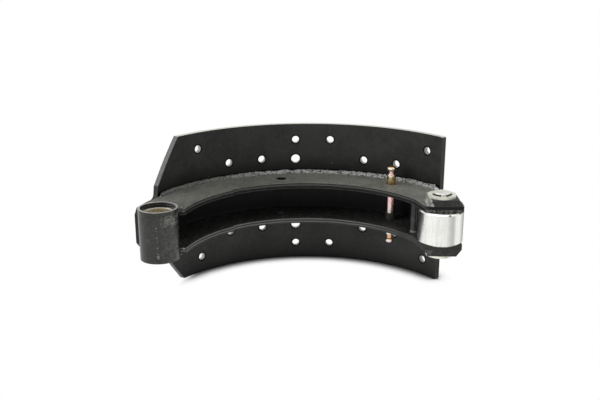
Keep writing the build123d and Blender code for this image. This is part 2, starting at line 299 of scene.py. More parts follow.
def makeEdgeWear():
    # rounded light on sharp edges, and a broken mask where the paint is thin there
    tree, given, out = newGroup(
        "edgeWear",
        [("width", floatSocket, 0.5 * mm), ("amount", floatSocket, 0.7), ("breakScale", floatSocket, 300.0)],
        [("mask", floatSocket), ("normal", vectorSocket)],
    )
    bevel = put(tree, "ShaderNodeBevel", samples=8)
    feed(given["width"], bevel.inputs["Radius"])
    rounded = bevel.outputs["Normal"]
    flat = put(tree, "ShaderNodeNewGeometry").outputs["Normal"]
    turn = minus(1.0, dot(rounded, flat))
    broken = spread(cloud(tree, given["breakScale"], 3.0, 0.65), 0.3, 0.62, 0.25, 1.0)
    mask = times(spread(turn, 0.012, 0.16), broken)
    feed(calc("MULTIPLY", mask, given["amount"], True), out["mask"])
    feed(rounded, out["normal"])
    return tree


def makePlateSide():
    # tells the faces of a bent plate from its cut edges, and gives the distance from the drum axis
    outputs = ("edge", "upward", "inward", "radius")
    tree, _, out = newGroup("plateSide", [], [(label, floatSocket) for label in outputs])
    level = stretched(placeFrom(tree, drumAxis), (1, 1, 0))
    outward = vectorMath("NORMALIZE", level)[0]
    face = put(tree, "ShaderNodeNewGeometry").outputs["True Normal"]
    away = dot(face, outward)
    feed(spread(calc("ABSOLUTE", away), 0.75, 0.55), out["edge"])
    feed(spread(dot(face, (0, 0, 1)), 0.6, 0.8), out["upward"])
    feed(spread(away, -0.6, -0.8), out["inward"])
    feed(lengthOf(level), out["radius"])
    return tree


def makeZincGrain():
    # the cloudy, finely brushed skin of zinc plate
    tree, given, out = newGroup(
        "zincGrain",
        [
            ("dark", colorSocket, (0.5, 0.5, 0.48)),
            ("light", colorSocket, (0.85, 0.85, 0.84)),
            ("shine", floatSocket, 0.25),
            ("lines", floatSocket, 0.4),
        ],
        skinOutputs,
    )
    haze = cloud(tree, 60.0, 5.0, 0.6)
    fine = cloud(tree, 900.0, 2.0)
    brushed = cloud(tree, 420.0, 3.0, vector=stretched(place(tree), (1, 1, 14)))
    mix = plus(haze, times(minus(brushed, 0.5), given["lines"]))
    feed(blendColor(spread(mix, 0.32, 0.62), given["dark"], given["light"]), out["color"])
    rough = plus(given["shine"], times(minus(fine, 0.45), 0.3), True)
    feed(rough, out["roughness"])
    feed(plus(brushed, fine), out["height"])
    return tree


paintGrain = makePaintGrain(grainLook)
edgeWear = makeEdgeWear()
plateSide = makePlateSide()
zincGrain = makeZincGrain()
print("shared effects built")


def newFinish(name, metallic=0.0, specular=0.5):
    material = bpy.data.materials.new(name)
    tree = emptyTree(material)
    shader = put(tree, "ShaderNodeBsdfPrincipled")
    shader.inputs["Metallic"].default_value = metallic
    shader.inputs["Specular IOR Level"].default_value = specular
    endWith("ShaderNodeOutputMaterial", shader)
    return material, tree, shader


def skinOf(tree, group, look, **values):
    return useGroup(tree, group, dark=look["dark"], light=look["light"], **values)


def finishSkin(shader, color, roughness, height, depth, strength, wear=None):
    # the height is bumped on the rounded normal of the worn edges, where there is one
    bump = put(shader.id_data, "ShaderNodeBump")
    bump.inputs["Strength"].default_value = strength
    bump.inputs["Distance"].default_value = depth
    feed(height, bump.inputs["Height"])
    if wear is not None:
        feed(wear["normal"], bump.inputs["Normal"])
    feed(color, shader.inputs["Base Color"])
    feed(roughness, shader.inputs["Roughness"])
    feed(bump.outputs[0], shader.inputs["Normal"])


def dress(name, material):
    # the frame's own node gets the finish in its slot
    mesh = nodes[name].data
    mesh.materials.clear()
    mesh.materials.append(material)


# floor and light
floorSetup = {
    "level": -83.5 * mm,
    "reach": 6.0,
    "color": (0.86, 0.86, 0.86),
    "shadowColor": (0.5, 0.5, 0.5),
    "contact": 24 * mm,
    "shadowStart": (24 * mm, 4 * mm),
}
# watts, width and place
lampSetup = {
    "overheadBox": (9.0, 1.3, (0.25, 0.12, 1.35)),
    "leftBox": (7.6, 0.9, (-1.1, -0.3, 0.5)),
    "rightBox": (2.6, 0.8, (1.3, -0.55, 0.6)),
}
lampTarget = (0.15, 0.06, 0.0)
airSetup = {
    "dome": 0.28,
    "room": 0.85,
}
# how bright the room is on each side: 0.25 is the left, 0.5 the camera's side, 0.75 the right
roomSides = [
    (0.0, 0.9), (0.12, 1.0), (0.25, 0.94), (0.34, 1.0), (0.45, 0.96), (0.55, 0.93), (0.6, 0.72),
    (0.655, 0.5), (0.685, 0.58), (0.7, 0.95), (0.76, 1.0), (0.81, 0.8), (0.87, 0.45), (0.94, 0.3), (1.0, 0.9),
]
roomWarmth = 0.985


def makeRoomRing(sides):
    direction = ("direction", vectorSocket, (0, 0, 0))
    tree, given, out = newGroup("roomRing", [direction], [("color", colorSocket)])
    heading = axesOf(tree, given["direction"])
    azimuth = calc("ARCTAN2", heading["X"], times(heading["Y"], -1.0))
    turned = plus(calc("DIVIDE", azimuth, 2 * math.pi), 0.5)
    stops = [(spot, (level, level, level * roomWarmth)) for spot, level in sides]
    feed(colorRamp(turned, stops), out["color"])
    return tree


roomRing = makeRoomRing(roomSides)


def mixShaders(factor, first, second):
    node = put(factor.id_data, "ShaderNodeMixShader")
    feed(factor, node.inputs[0])
    feed(first.outputs[0], node.inputs[1])
    feed(second.outputs[0], node.inputs[2])
    return node


def addFloor(setup):
    mesh = bpy.data.meshes.new("studioFloor")
    half = setup["reach"] / 2
    corners = [(-half, -half), (half, -half), (half, half), (-half, half)]
    mesh.from_pydata([(x, y, setup["level"]) for x, y in corners], [], [(0, 1, 2, 3)])
    floor = bpy.data.objects.new("studioFloor", mesh)
    scene.collection.objects.link(floor)
    material = bpy.data.materials.new("paleFloor")
    tree = emptyTree(material)
    path = put(tree, "ShaderNodeLightPath").outputs
    seen = most(path["Is Camera Ray"], path["Is Transmission Ray"])
    mirrored = path["Is Glossy Ray"]
    # the shadow shows only close to the plate, further off the floor is as white as the backdrop
    near = put(tree, "ShaderNodeAmbientOcclusion", samples=16)
    near.inputs["Distance"].default_value = setup["contact"]
    clear = spread(near.outputs["AO"], 0.5, 0.985)
    clear = most(clear, spread(axesOf(tree)["X"], *setup["shadowStart"]))
    diffuse = put(tree, "ShaderNodeBsdfDiffuse")
    feed(blendColor(seen, setup["color"], setup["shadowColor"]), diffuse.inputs["Color"])
    ring = useGroup(tree, roomRing, direction=placeFrom(tree, rollerAxis))["color"]
    glow = put(tree, "ShaderNodeEmission")
    feed(blendColor(mirrored, (1, 1, 1), ring), glow.inputs["Color"])
    both = mixShaders(times(most(seen, mirrored), clear), diffuse, glow)
    endWith("ShaderNodeOutputMaterial", both)
    mesh.materials.append(material)


def addSoftBox(name, power, size, spot, target):
    data = bpy.data.lights.new(name, "AREA")
    data.energy = power
    data.size = size
    lamp = bpy.data.objects.new(name, data)
    lamp.location = spot
    lamp.rotation_euler = (Vector(target) - Vector(spot)).to_track_quat("-Z", "Y").to_euler()
    scene.collection.objects.link(lamp)


def background(tree, color, strength=1.0):
    node = put(tree, "ShaderNodeBackground")
    feed(color, node.inputs["Color"])
    node.inputs["Strength"].default_value = strength
    return node


def buildWorld(setup):
    world = bpy.data.worlds.new("studioAir")
    scene.world = world
    tree = emptyTree(world)
    heading = put(tree, "ShaderNodeTexCoord").outputs["Generated"]
    path = put(tree, "ShaderNodeLightPath").outputs
    seen = most(path["Is Camera Ray"], path["Is Transmission Ray"])
    wall = useGroup(tree, roomRing, direction=heading)["color"]
    dome = background(tree, (1, 1, 1), setup["dome"])
    room = background(tree, wall, setup["room"])
    white = background(tree, (1, 1, 1))
    lit = mixShaders(path["Is Glossy Ray"], dome, room)
    endWith("ShaderNodeOutputWorld", mixShaders(seen, lit, white))


addFloor(floorSetup)
for lampName, (power, width, spot) in lampSetup.items():
    addSoftBox(lampName, power, width, spot, lampTarget)
buildWorld(airSetup)
print("camera, floor and light set")

# shoe table
tableFinish = {
    "dark": (0.011, 0.0108, 0.0106),
    "light": (0.022, 0.0216, 0.0212),
    "cutEdge": (0.36, 0.355, 0.345),
    "cutEdgeDark": (0.13, 0.128, 0.124),
    "tongueEdge": (0.03, 0.028, 0.026),
    "endEdge": (0.05, 0.05, 0.048),
    "holeWall": (0.68, 0.67, 0.65),
    "topEdge": (0.72, 0.71, 0.66),
    "topEdgeFrom": (60 * mm, 70 * mm),
    "paintedShadeBlack": (0.002, 0.002, 0.002),
    "ring": 1.4 * mm,
    "beadFoot": 24 * mm,
    "beadTop": 28.8 * mm,
    "anchorEndX": 14 * mm,
    "camEndX": 296 * mm,
    "tongueHalf": 36 * mm,
    "bareSteel": (0.34, 0.33, 0.31),
    "innerRadius": 180 * mm,
    "thickness": 6 * mm,
    "sawLines": 19.0,
    # painted shade: heights between which the face is painted darker towards the floor and next to the webs,
    # and how pale it is at each
    "floorShade": (-84 * mm, -48 * mm, 0.75, 3.3),
    "floorShadeEnd": (-15 * mm, -22 * mm),
    "webShade": (22 * mm, 50 * mm, 0.2, 1.75),
}


def shadeRims(tree, look, side):
    # painted shade: dark rings round the drilled holes and a dark strip above the upper bead
    rims = []
    for mount in mountList:
        axis = Vector(mount["axis"])
        if mount["kind"] == "bore" and abs(axis.z) < 0.5:
            away = distanceTo(tree, Vector(mount["pos_m"]) - axis * look["thickness"] / 2)
            reach = mount["dims"]["r_mm"] * mm + look["ring"]
            rims.append(spread(away, reach + 0.2 * mm, reach - 0.2 * mm))
    rims.append(within(axesOf(tree)["Z"], look["beadFoot"], look["beadTop"], 0.4 * mm))
    return times(most(*rims), side["inward"])


def makeTableFinish(look):
    material, tree, shader = newFinish("blackTablePaint", specular=0.22)
    grain = skinOf(tree, paintGrain, look, speckle=0.10, dull=0.5)
    side = useGroup(tree, plateSide)
    wear = useGroup(tree, edgeWear, width=0.5 * mm, amount=0.25)
    where = axesOf(tree)
    # the slanting saw cuts show lines that run along the plate
    depth = calc("DIVIDE", minus(side["radius"], look["innerRadius"]), look["thickness"])
    wobble = times(cloud(tree, 90.0, 2.0), 0.25)
    line = calc("SINE", times(plus(depth, wobble), look["sawLines"]))
    grit = spread(cloud(tree, 700.0), 0.3, 0.7)
    scratchy = times(spread(line, -0.4, 0.9), grit)
    cut = blendColor(scratchy, look["cutEdgeDark"], look["cutEdge"])
    # each kind of cut has its own shine: the slanting ones, the tongue, the cam end and the drilled holes
    tongue = within(where["Z"], -look["tongueHalf"], look["tongueHalf"])
    cut = blendColor(tongue, cut, look["tongueEdge"])
    # painted shade: each hole wall is black next to the inner face
    wall = blendColor(spread(depth, 0.02, 0.16), look["paintedShadeBlack"], look["holeWall"])
    anchorEnd = spread(where["X"], look["anchorEndX"] + mm, look["anchorEndX"] - mm)
    camEnd = spread(where["X"], look["camEndX"] - mm, look["camEndX"] + mm)
    edge = blendColor(anchorEnd, wall, cut)
    edge = blendColor(camEnd, edge, look["endEdge"])
    top = times(side["upward"], spread(where["Z"], *look["topEdgeFrom"]))
    edge = blendColor(top, edge, look["topEdge"])
    # painted shade: the face is darkest towards the floor, next to the webs and between them, where shade
    # falls, and lighter in the bands between
    floorShade = spread(where["Z"], *look["floorShade"])
    band = times(floorShade, spread(where["Z"], *look["floorShadeEnd"]))
    band = plus(band, spread(where["Z"], *look["webShade"]))
    face = blendColor(side["inward"], grain["color"], band, "MULTIPLY")
    # painted shade round the holes and above the upper bead
    paintedRims = shadeRims(tree, look, side)
    face = blendColor(times(paintedRims, 0.95), face, look["paintedShadeBlack"])
    color = blendColor(side["edge"], face, edge)
    color = blendColor(times(wear["mask"], side["edge"]), color, look["bareSteel"])
    # metallic here, so that the painted shade mirrors almost nothing of the room and stays black
    feed(times(paintedRims, 0.9), shader.inputs["Metallic"])
    finishSkin(shader, color, grain["roughness"], grain["height"], 0.05 * mm, 0.5, wear)
    return material


dress("shoe_table", makeTableFinish(tableFinish))
print("shoe table dressed")

# webs
webFinish = {
    "dark": (0.092, 0.094, 0.082),
    "light": (0.162, 0.165, 0.145),
    "edgeDark": (0.005, 0.005, 0.005),
    "edgeLight": (0.016, 0.016, 0.016),
    "sheared": (0.085, 0.084, 0.08),
    "shearLines": [(21.2 * mm, 23.0 * mm), (17.9 * mm, 18.35 * mm)],
    "linesFade": (rollerAxis.x - 12 * mm, rollerAxis.x - 24 * mm),
    "mottled": (0.17, 0.165, 0.15),
    "mottledFrom": (rollerAxis.x - 20 * mm, rollerAxis.x - 17 * mm),
    "mottledTop": (20.9 * mm, 20.3 * mm),
    "mottledFoot": (15 * mm, 17 * mm),
    "paler": (90 * mm, 230 * mm, 1.0, 1.35),
    "bareSteel": (0.2, 0.197, 0.19),
    "edgeWear": 0.5,
}
# painted shade: the lower web's copy has its face painted darker, as it lies in the shade of the upper web,
# and its cut edges lighter
shadedLowerWebFinish = {
    **webFinish,
    "dark": (0.013, 0.013, 0.0125),
    "light": (0.026, 0.0255, 0.025),
    "edgeDark": (0.034, 0.034, 0.033),
    "edgeLight": (0.06, 0.059, 0.058),
    "sheared": (0.19, 0.188, 0.18),
    "shearLines": [(-19.4 * mm, -18.0 * mm), (-22.3 * mm, -21.0 * mm)],
    "linesFade": (rollerAxis.x - 20 * mm, rollerAxis.x - 90 * mm),
    "edgeWear": 0.7,
}
webHoleShade = (5.8 * mm, 5.4 * mm)
webHoleRimShade = (6.1 * mm, 5.7 * mm)


def makeWebFinish(name, look):
    material, tree, shader = newFinish(name, specular=0.16)
    grain = skinOf(tree, paintGrain, look, speckle=0.62, speckleScale=640.0, dull=0.5)
    rimLook = {"dark": look["edgeDark"], "light": look["edgeLight"]}
    rim = skinOf(tree, paintGrain, rimLook, speckle=0.12, speckleScale=900.0, dull=0.5)
    side = useGroup(tree, plateSide)
    wear = useGroup(tree, edgeWear, width=0.45 * mm, amount=look["edgeWear"])
    where = axesOf(tree)
    # smooth light lines run along each cut edge, the rest of it is dark and torn
    level = plus(where["Z"], wander(tree, 1.2 * mm, 90.0))
    lines = most(*[within(level, low, high) for low, high in look["shearLines"]])
    fade = spread(where["X"], *look["linesFade"])
    cut = blendColor(times(lines, fade), rim["color"], look["sheared"])
    # painted shade: the wall of the hole through both webs is painted black
    fromHole = lengthOf(stretched(placeFrom(tree, mounts["web_hole"]), (1, 1, 0)))
    cut = blendColor(spread(fromHole, *webHoleShade), cut, look["edgeDark"])
    # bare, mottled strip above the roller on the tip of the upper web
    top = spread(where["Z"], *look["mottledTop"])
    foot = spread(where["Z"], *look["mottledFoot"])
    mottle = spread(cloud(tree, 420.0, 4.0, 0.65), 0.36, 0.62)
    tip = times(spread(where["X"], *look["mottledFrom"]), top, foot, mottle)
    cut = blendColor(tip, cut, look["mottled"])
    # the face is lighter towards the cam end
    face = blendColor(1.0, grain["color"], spread(where["X"], *look["paler"]), "MULTIPLY")
    color = blendColor(side["upward"], cut, face)
    color = blendColor(wear["mask"], color, look["bareSteel"])
    # painted shade: a thin black ring round that hole on the faces
    color = blendColor(spread(fromHole, *webHoleRimShade), color, look["edgeDark"])
    finishSkin(shader, color, grain["roughness"], grain["height"], 0.07 * mm, 0.6, wear)
    return material


dress("upper_web", makeWebFinish("upperWebPaint", webFinish))
dress("lower_web", makeWebFinish("shadedLowerWebPaint", shadedLowerWebFinish))
print("webs dressed")

# anchor boss and bush
bossFinish = {
    "radius": 20.5,
    "seatRadius": (18.35 * mm, 18.1 * mm),
    "dark": (0.018, 0.0178, 0.0172),
    "light": (0.04, 0.0395, 0.038),
    "turnedRimAndHighlight": (0.44, 0.433, 0.405),
    "scuff": (0.3, 0.3, 0.26),
    "chip": (0.36, 0.355, 0.335),
    "bareSteel": (0.3, 0.295, 0.28),
    "mouth": (0.007, 0.0065, 0.006),
    # bearing from the front in degrees, height and size in millimetres
    "chips": [
        (4.5, 11.4, 1.3), (5.0, 8.2, 1.3), (5.0, 1.0, 1.1), (6.0, -3.2, 1.0),
        (5.0, -10.0, 0.9), (7.0, -16.0, 1.0), (7.4, -19.8, 2.1),
    ],
    "scuffBearing": (13.0, 84.0),
    "scuffHeight": (9.5, 22.5),
}
bushFinish = {
    "face": (1.0, 0.96, 0.85),
    "dark": (0.47, 0.42, 0.3),
    "light": (0.9, 0.83, 0.65),
    "brightDepth": 1.4 * mm,
}


def bearingOf(across, toFront):
    # degrees from the front
    return times(calc("ARCTAN2", across, toFront), 180 / math.pi)


def frontSpot(radius, bearing, height):
    # a place on a round face, from its bearing and height
    turn = math.radians(bearing)
    return Vector((math.sin(turn) * radius, -math.cos(turn) * radius, height)) * mm


def scuffs(tree, look, bearing, height):
    # thin curved scratches in a patch below the rim, and fainter ones down that side
    low, high = look["scuffBearing"]
    bottom, top = look["scuffHeight"]
    band = times(spread(bearing, low, low + 12), spread(bearing, high + 6, high - 8))
    rise = spread(height, bottom * mm, (bottom + 5) * mm, 0.22, 1.0)
    level = times(rise, spread(height, (top + 1.5) * mm, (top - 1) * mm))
    swirl = cloud(tree, 150.0, 4.0, 0.6)
    ridge = spread(calc("ABSOLUTE", minus(swirl, 0.5)), 0.05, 0.0)
    fleck = spread(cloud(tree, 420.0, 4.0, 0.7), 0.5, 0.66)
    return times(band, level, most(ridge, times(fleck, 0.7)))


def makeBossFinish(look):
    material, tree, shader = newFinish("scuffedBossPaint", specular=0.4)
    grain = skinOf(tree, paintGrain, look, speckle=0.24, speckleScale=700.0, dull=0.23)
    wear = useGroup(tree, edgeWear, width=0.6 * mm, amount=0.6)
    where = axesOf(tree)
    bearing = bearingOf(where["X"], times(where["Y"], -1.0))
    # the turned mouth is lighter than the painted outside, and its upward faces are painted lighter still as
    # a painted highlight
    side = useGroup(tree, plateSide)
    color = blendColor(side["upward"], grain["color"], look["turnedRimAndHighlight"])
    rub = scuffs(tree, look, bearing, where["Z"])
    color = blendColor(times(rub, 0.8), color, look["scuff"])
    # faint paler patches low on the right
    patch = spread(cloud(tree, 110.0, 4.0, 0.65), 0.5, 0.68)
    patch = times(patch, spread(bearing, -5, 60), 0.2)
    color = blendColor(patch, color, look["scuff"])
    # a line of small chips down the front
    spots = [
        closeTo(tree, frontSpot(look["radius"], turned, height), size * mm, 1.3)
        for turned, height, size in look["chips"]
    ]
    color = blendColor(times(most(*spots), 0.5), color, look["chip"])
    color = blendColor(wear["mask"], color, look["bareSteel"])
    # the seat and the bore are dark inside
    fromAxis = lengthOf(stretched(place(tree), (1, 1, 0)))
    inside = spread(fromAxis, *look["seatRadius"])
    color = blendColor(times(inside, 0.92), color, look["mouth"])
    finishSkin(shader, color, grain["roughness"], grain["height"], 0.05 * mm, 0.5, wear)
    return material


def makeBushFinish(look):
    material, tree, shader = newFinish("turnedBronze", metallic=0.75)
    turned = cloud(tree, 500.0, 3.0, vector=stretched(place(tree), (0.15, 0.15, 9)))
    haze = cloud(tree, 160.0, 4.0)
    tone = spread(plus(times(turned, 0.5), times(haze, 0.5)), 0.35, 0.65)
    wall = blendColor(tone, look["dark"], look["light"])
    # the turned face and the top of the bore are the brightest
    side = useGroup(tree, plateSide)
    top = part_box("anchor_bush")[1].z - look["brightDepth"]
    lip = spread(axesOf(tree)["Z"], top - 0.2 * mm, top + 0.2 * mm)
    lip = most(side["upward"], lip)
    wear = useGroup(tree, edgeWear, width=0.4 * mm, amount=0.5)
    color = blendColor(lip, wall, look["face"])
    finishSkin(shader, color, spread(haze, 0.2, 0.8, 0.25, 0.45), turned, 0.03 * mm, 0.6, wear)
    return material


dress("anchor_boss", makeBossFinish(bossFinish))
dress("anchor_bush", makeBushFinish(bushFinish))
print("anchor end dressed")

# roller, pin, pads and spacer
padFinish = {
    "dark": (0.012, 0.012, 0.012),
    "light": (0.036, 0.0355, 0.034),
    "bareSteel": (0.22, 0.22, 0.21),
    "dull": 0.45,
    "wear": 0.45,
}
upperPadFinish = {
    **padFinish,
    "bareEnd": (0.5, 0.49, 0.45),
    "bareTo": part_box("upper_roller_pad")[0].x + 2.4 * mm,
}
lowerPadFinish = {
    **padFinish,
    "bareEnd": (0.12, 0.118, 0.112),
    "bareTo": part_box("lower_roller_pad")[0].x + 4.0 * mm,
    "wear": 0.35,
}
spacerFinish = {
    **padFinish,
    "dark": (0.02, 0.02, 0.02),
    "light": (0.085, 0.085, 0.084),
    "bareFootAndGlint": (0.4, 0.39, 0.36),
    "footTo": -15.9 * mm,
    "dull": 0.35,
    "wear": 0.2,
}
collarFinish = {
    **padFinish,
    "light": (0.07, 0.068, 0.05),
    "dull": 0.4,
    "wear": 0.4,
}
rollerFinish = {
    "dark": (0.8, 0.805, 0.78),
    "light": (0.94, 0.94, 0.915),
    "nick": (0.1, 0.1, 0.09),
    "nickBearing": 15.0,
    "nickSize": 1.6 * mm,
    "radius": 23.85,
    "nickHeight": 16.9,
}
zincFinish = {
    "dark": (0.72, 0.72, 0.63),
    "light": (0.9, 0.9, 0.81),
    "edge": (1.0, 1.0, 0.98),
    "edgeWidth": 0.3 * mm,
    "metallic": 0.3,
    "shine": 0.5,
    "lines": 0.05,
}
lowerWasherFinish = {
    **zincFinish,
    "metallic": 1.0,
    "shine": 0.35,
}
pinFinish = {
    **zincFinish,
    "dark": (0.9, 0.9, 0.85),
    "edgeWidth": 0.4 * mm,
    "shine": 0.45,
    "lines": 0.1,
}
clipFinish = {
    **zincFinish,
    "gapShade": (0.03, 0.03, 0.028),
    "gapShadeBearing": (13.0, 80.0),
}


def makePadFinish(name, look):
    material, tree, shader = newFinish(name, specular=0.35)
    grain = skinOf(tree, paintGrain, look, speckle=0.3, speckleScale=520.0, dull=look["dull"])
    wear = useGroup(tree, edgeWear, width=0.5 * mm, amount=look["wear"])
    color = blendColor(wear["mask"], grain["color"], look["bareSteel"])
    if "bareTo" in look:
        # weld spatter and bare steel on the end towards the web
        where = axesOf(tree)
        torn = wander(tree, 5 * mm, 260.0, 4.0, 0.6)
        slope = times(minus(30 * mm, calc("ABSOLUTE", where["Z"])), 0.35)
        reach = minus(plus(where["X"], torn), slope)
        mottle = spread(cloud(tree, 500.0, 3.0, 0.6), 0.38, 0.6, 0.3, 1.0)
        bare = spread(reach, look["bareTo"] + 0.5 * mm, look["bareTo"] - 0.5 * mm)
        color = blendColor(times(bare, mottle), color, look["bareEnd"])
    if "footTo" in look:
        # the paint is rubbed off where the rod meets the lower web, and that band is painted pale as a
        # painted glint
        foot = spread(axesOf(tree)["Z"], look["footTo"] + 0.4 * mm, look["footTo"] - 0.4 * mm)
        color = blendColor(foot, color, look["bareFootAndGlint"])
    finishSkin(shader, color, grain["roughness"], grain["height"], 0.12 * mm, 0.8, wear)
    return material


def makeClipFinish(look):
    # bright like the washer, with painted shade: a dark band where the gap between clip and pin lies, on each
    # side of the lugs
    material, tree, shader = newFinish("clipSpringSteel", metallic=0.3)
    zinc = skinOf(tree, zincGrain, look, shine=0.45, lines=0.2)
    where = axesOf(tree)
    across = minus(where["X"], rollerAxis.x)
    toFront = minus(rollerAxis.y, where["Y"])
    turn = calc("ABSOLUTE", calc("ARCTAN2", across, toFront))
    gapShade = within(times(turn, 180 / math.pi), *look["gapShadeBearing"], 4.0)
    color = blendColor(gapShade, zinc["color"], look["gapShade"])
    finishSkin(shader, color, zinc["roughness"], zinc["height"], 0.03 * mm, 0.35)
    return material


def makeZincFinish(name, look):
    material, tree, shader = newFinish(name, metallic=look["metallic"])
    zinc = skinOf(tree, zincGrain, look, shine=look["shine"], lines=look["lines"])
    wear = useGroup(tree, edgeWear, width=look["edgeWidth"], amount=1.0)
    # painted highlight: the rounded edges are painted near white
    color = blendColor(wear["mask"], zinc["color"], look["edge"])
    finishSkin(shader, color, zinc["roughness"], zinc["height"], 0.03 * mm, 0.35, wear)
    return material


def makeRollerFinish(look):
    # bright plate with upright streaks, faint turning lines and one nick in the rim
    material, tree, shader = newFinish("brightRollerZinc", metallic=1.0)
    fromAxis = placeFrom(tree, rollerAxis)
    streak = cloud(tree, 190.0, 4.0, 0.6, stretched(fromAxis, (1, 1, 0.09)))
    spotty = cloud(tree, 520.0, 3.0, 0.6, stretched(fromAxis, (1, 1, 0.35)))
    turned = cloud(tree, 300.0, 3.0, vector=stretched(fromAxis, (0.2, 0.2, 12)))
    mix = plus(times(streak, 0.65), times(spotty, 0.35))
    color = blendColor(spread(mix, 0.36, 0.56), look["dark"], look["light"])
    spot = rollerAxis + frontSpot(look["radius"], look["nickBearing"], look["nickHeight"])
    color = blendColor(closeTo(tree, spot, look["nickSize"], 0.5), color, look["nick"])
    wear = useGroup(tree, edgeWear, width=0.6 * mm, amount=0.4)
    finishSkin(shader, color, spread(mix, 0.3, 0.65, 0.3, 0.22), turned, 0.02 * mm, 0.3, wear)
    return material


dress("upper_roller_pad", makePadFinish("blackUpperPadPaint", upperPadFinish))
dress("lower_roller_pad", makePadFinish("blackLowerPadPaint", lowerPadFinish))
dress("spacer_rod", makePadFinish("blackSpacerPaint", spacerFinish))
dress("spring_pin_collar", makePadFinish("darkCollar", collarFinish))
dress("cam_roller", makeRollerFinish(rollerFinish))
dress("upper_washer", makeZincFinish("brightWasherZinc", zincFinish))
dress("lower_washer", makeZincFinish("brightLowerWasherZinc", lowerWasherFinish))
dress("roller_pin", makeZincFinish("groundPinSteel", pinFinish))
clipSteel = makeClipFinish(clipFinish)
print("roller end dressed")


def keepPiece(name, mesh, material, replaced, body="shoe", bend=35.0):
    # one new piece of the object, which stands for the frame's plain node
    mesh.materials.clear()
    mesh.materials.append(material)
    for face in mesh.polygons:
        face.use_smooth = True
    mesh.set_sharp_from_angle(angle=math.radians(bend))
    piece = bpy.data.objects.new(name, mesh)
    scene.collection.objects.link(piece)
    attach(piece, body)
    if replaced:
        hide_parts(*replaced)


# circlips, with drilled lugs and rounded edges, in millimetres
clipShape = {
    "inner": 8.55,
    "thickBand": 2.6,
    "thinBand": 1.4,
    "lugRadius": 1.8,
    "lugApart": 4.2,
    "lugHole": 0.85,
    "thickness": 1.2,
    "round": 0.14,
    "turn": 3.0,
    "steps": 180,
    "holeSteps": 28,
}


def frontWay(turn):
    return Vector((math.sin(turn), -math.cos(turn)))


def clipOutline(shape):
    # seen from above in millimetres, the mouth faces -Y
    lugX = shape["lugApart"] / 2
    lugY = math.sqrt((shape["inner"] + shape["lugRadius"]) ** 2 - lugX**2)
    ring = shape["inner"] + (shape["thickBand"] + shape["thinBand"]) / 2
    lift = (shape["thickBand"] - shape["thinBand"]) / 2
    mouth = lugX - shape["lugRadius"]
    start = math.atan2(mouth, lugY)
    steps = shape["steps"]
    outer = []
    for step in range(steps + 1):
        way = frontWay(start + (2 * math.pi - 2 * start) * step / steps)
        reach = lift * way.y + math.sqrt(ring**2 - (lift * way.x) ** 2)
        for sign in (1, -1):
            lug = Vector((sign * lugX, -lugY))
            along = lug.dot(way)
            beside = lug.length_squared - along**2
            if along > 0 and beside < shape["lugRadius"] ** 2:
                reach = max(reach, along + math.sqrt(shape["lugRadius"] ** 2 - beside))
        outer.append(way * reach)
    innerStart = math.asin(mouth / shape["inner"])
    inner = []
    for step in range(steps + 1):
        turn = 2 * math.pi - innerStart - (2 * math.pi - 2 * innerStart) * step / steps
        inner.append(frontWay(turn) * shape["inner"])
    loops = [outer + inner]
    size = shape["lugHole"]
    turns = [2 * math.pi * step / shape["holeSteps"] for step in range(shape["holeSteps"])]
    for sign in (1, -1):
        hole = [(sign * lugX + size * math.cos(turn), size * math.sin(turn) - lugY) for turn in turns]
        loops.append([Vector(spot) for spot in hole])
    return loops


def makeClip(name, shape, low):
    curve = bpy.data.curves.new(name, "CURVE")
    curve.dimensions = "2D"
    curve.fill_mode = "BOTH"
    curve.extrude = (shape["thickness"] / 2 - shape["round"]) * mm
    curve.bevel_depth = shape["round"] * mm
    curve.bevel_resolution = 2
    curve.offset = -shape["round"] * mm
    angle = math.radians(shape["turn"])
    for loop in clipOutline(shape):
        spline = curve.splines.new("POLY")
        spline.points.add(len(loop) - 1)
        for point, spot in zip(spline.points, loop):
            x = spot.x * math.cos(angle) - spot.y * math.sin(angle)
            y = spot.x * math.sin(angle) + spot.y * math.cos(angle)
            point.co = (x * mm, y * mm, 0, 1)
        spline.use_cyclic_u = True
    helper = bpy.data.objects.new(name + "Curve", curve)
    mesh = bpy.data.meshes.new_from_object(helper)
    bpy.data.objects.remove(helper)
    middleZ = low + shape["thickness"] / 2 * mm
    for vertex in mesh.vertices:
        vertex.co += Vector((rollerAxis.x, rollerAxis.y, middleZ))
    return mesh


for name, node in (("upperCirclip", "upper_circlip"), ("lowerCirclip", "lower_circlip")):
    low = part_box(node)[0].z
    keepPiece(name, makeClip(name, clipShape, low), clipSteel, [node])
print("circlips made")

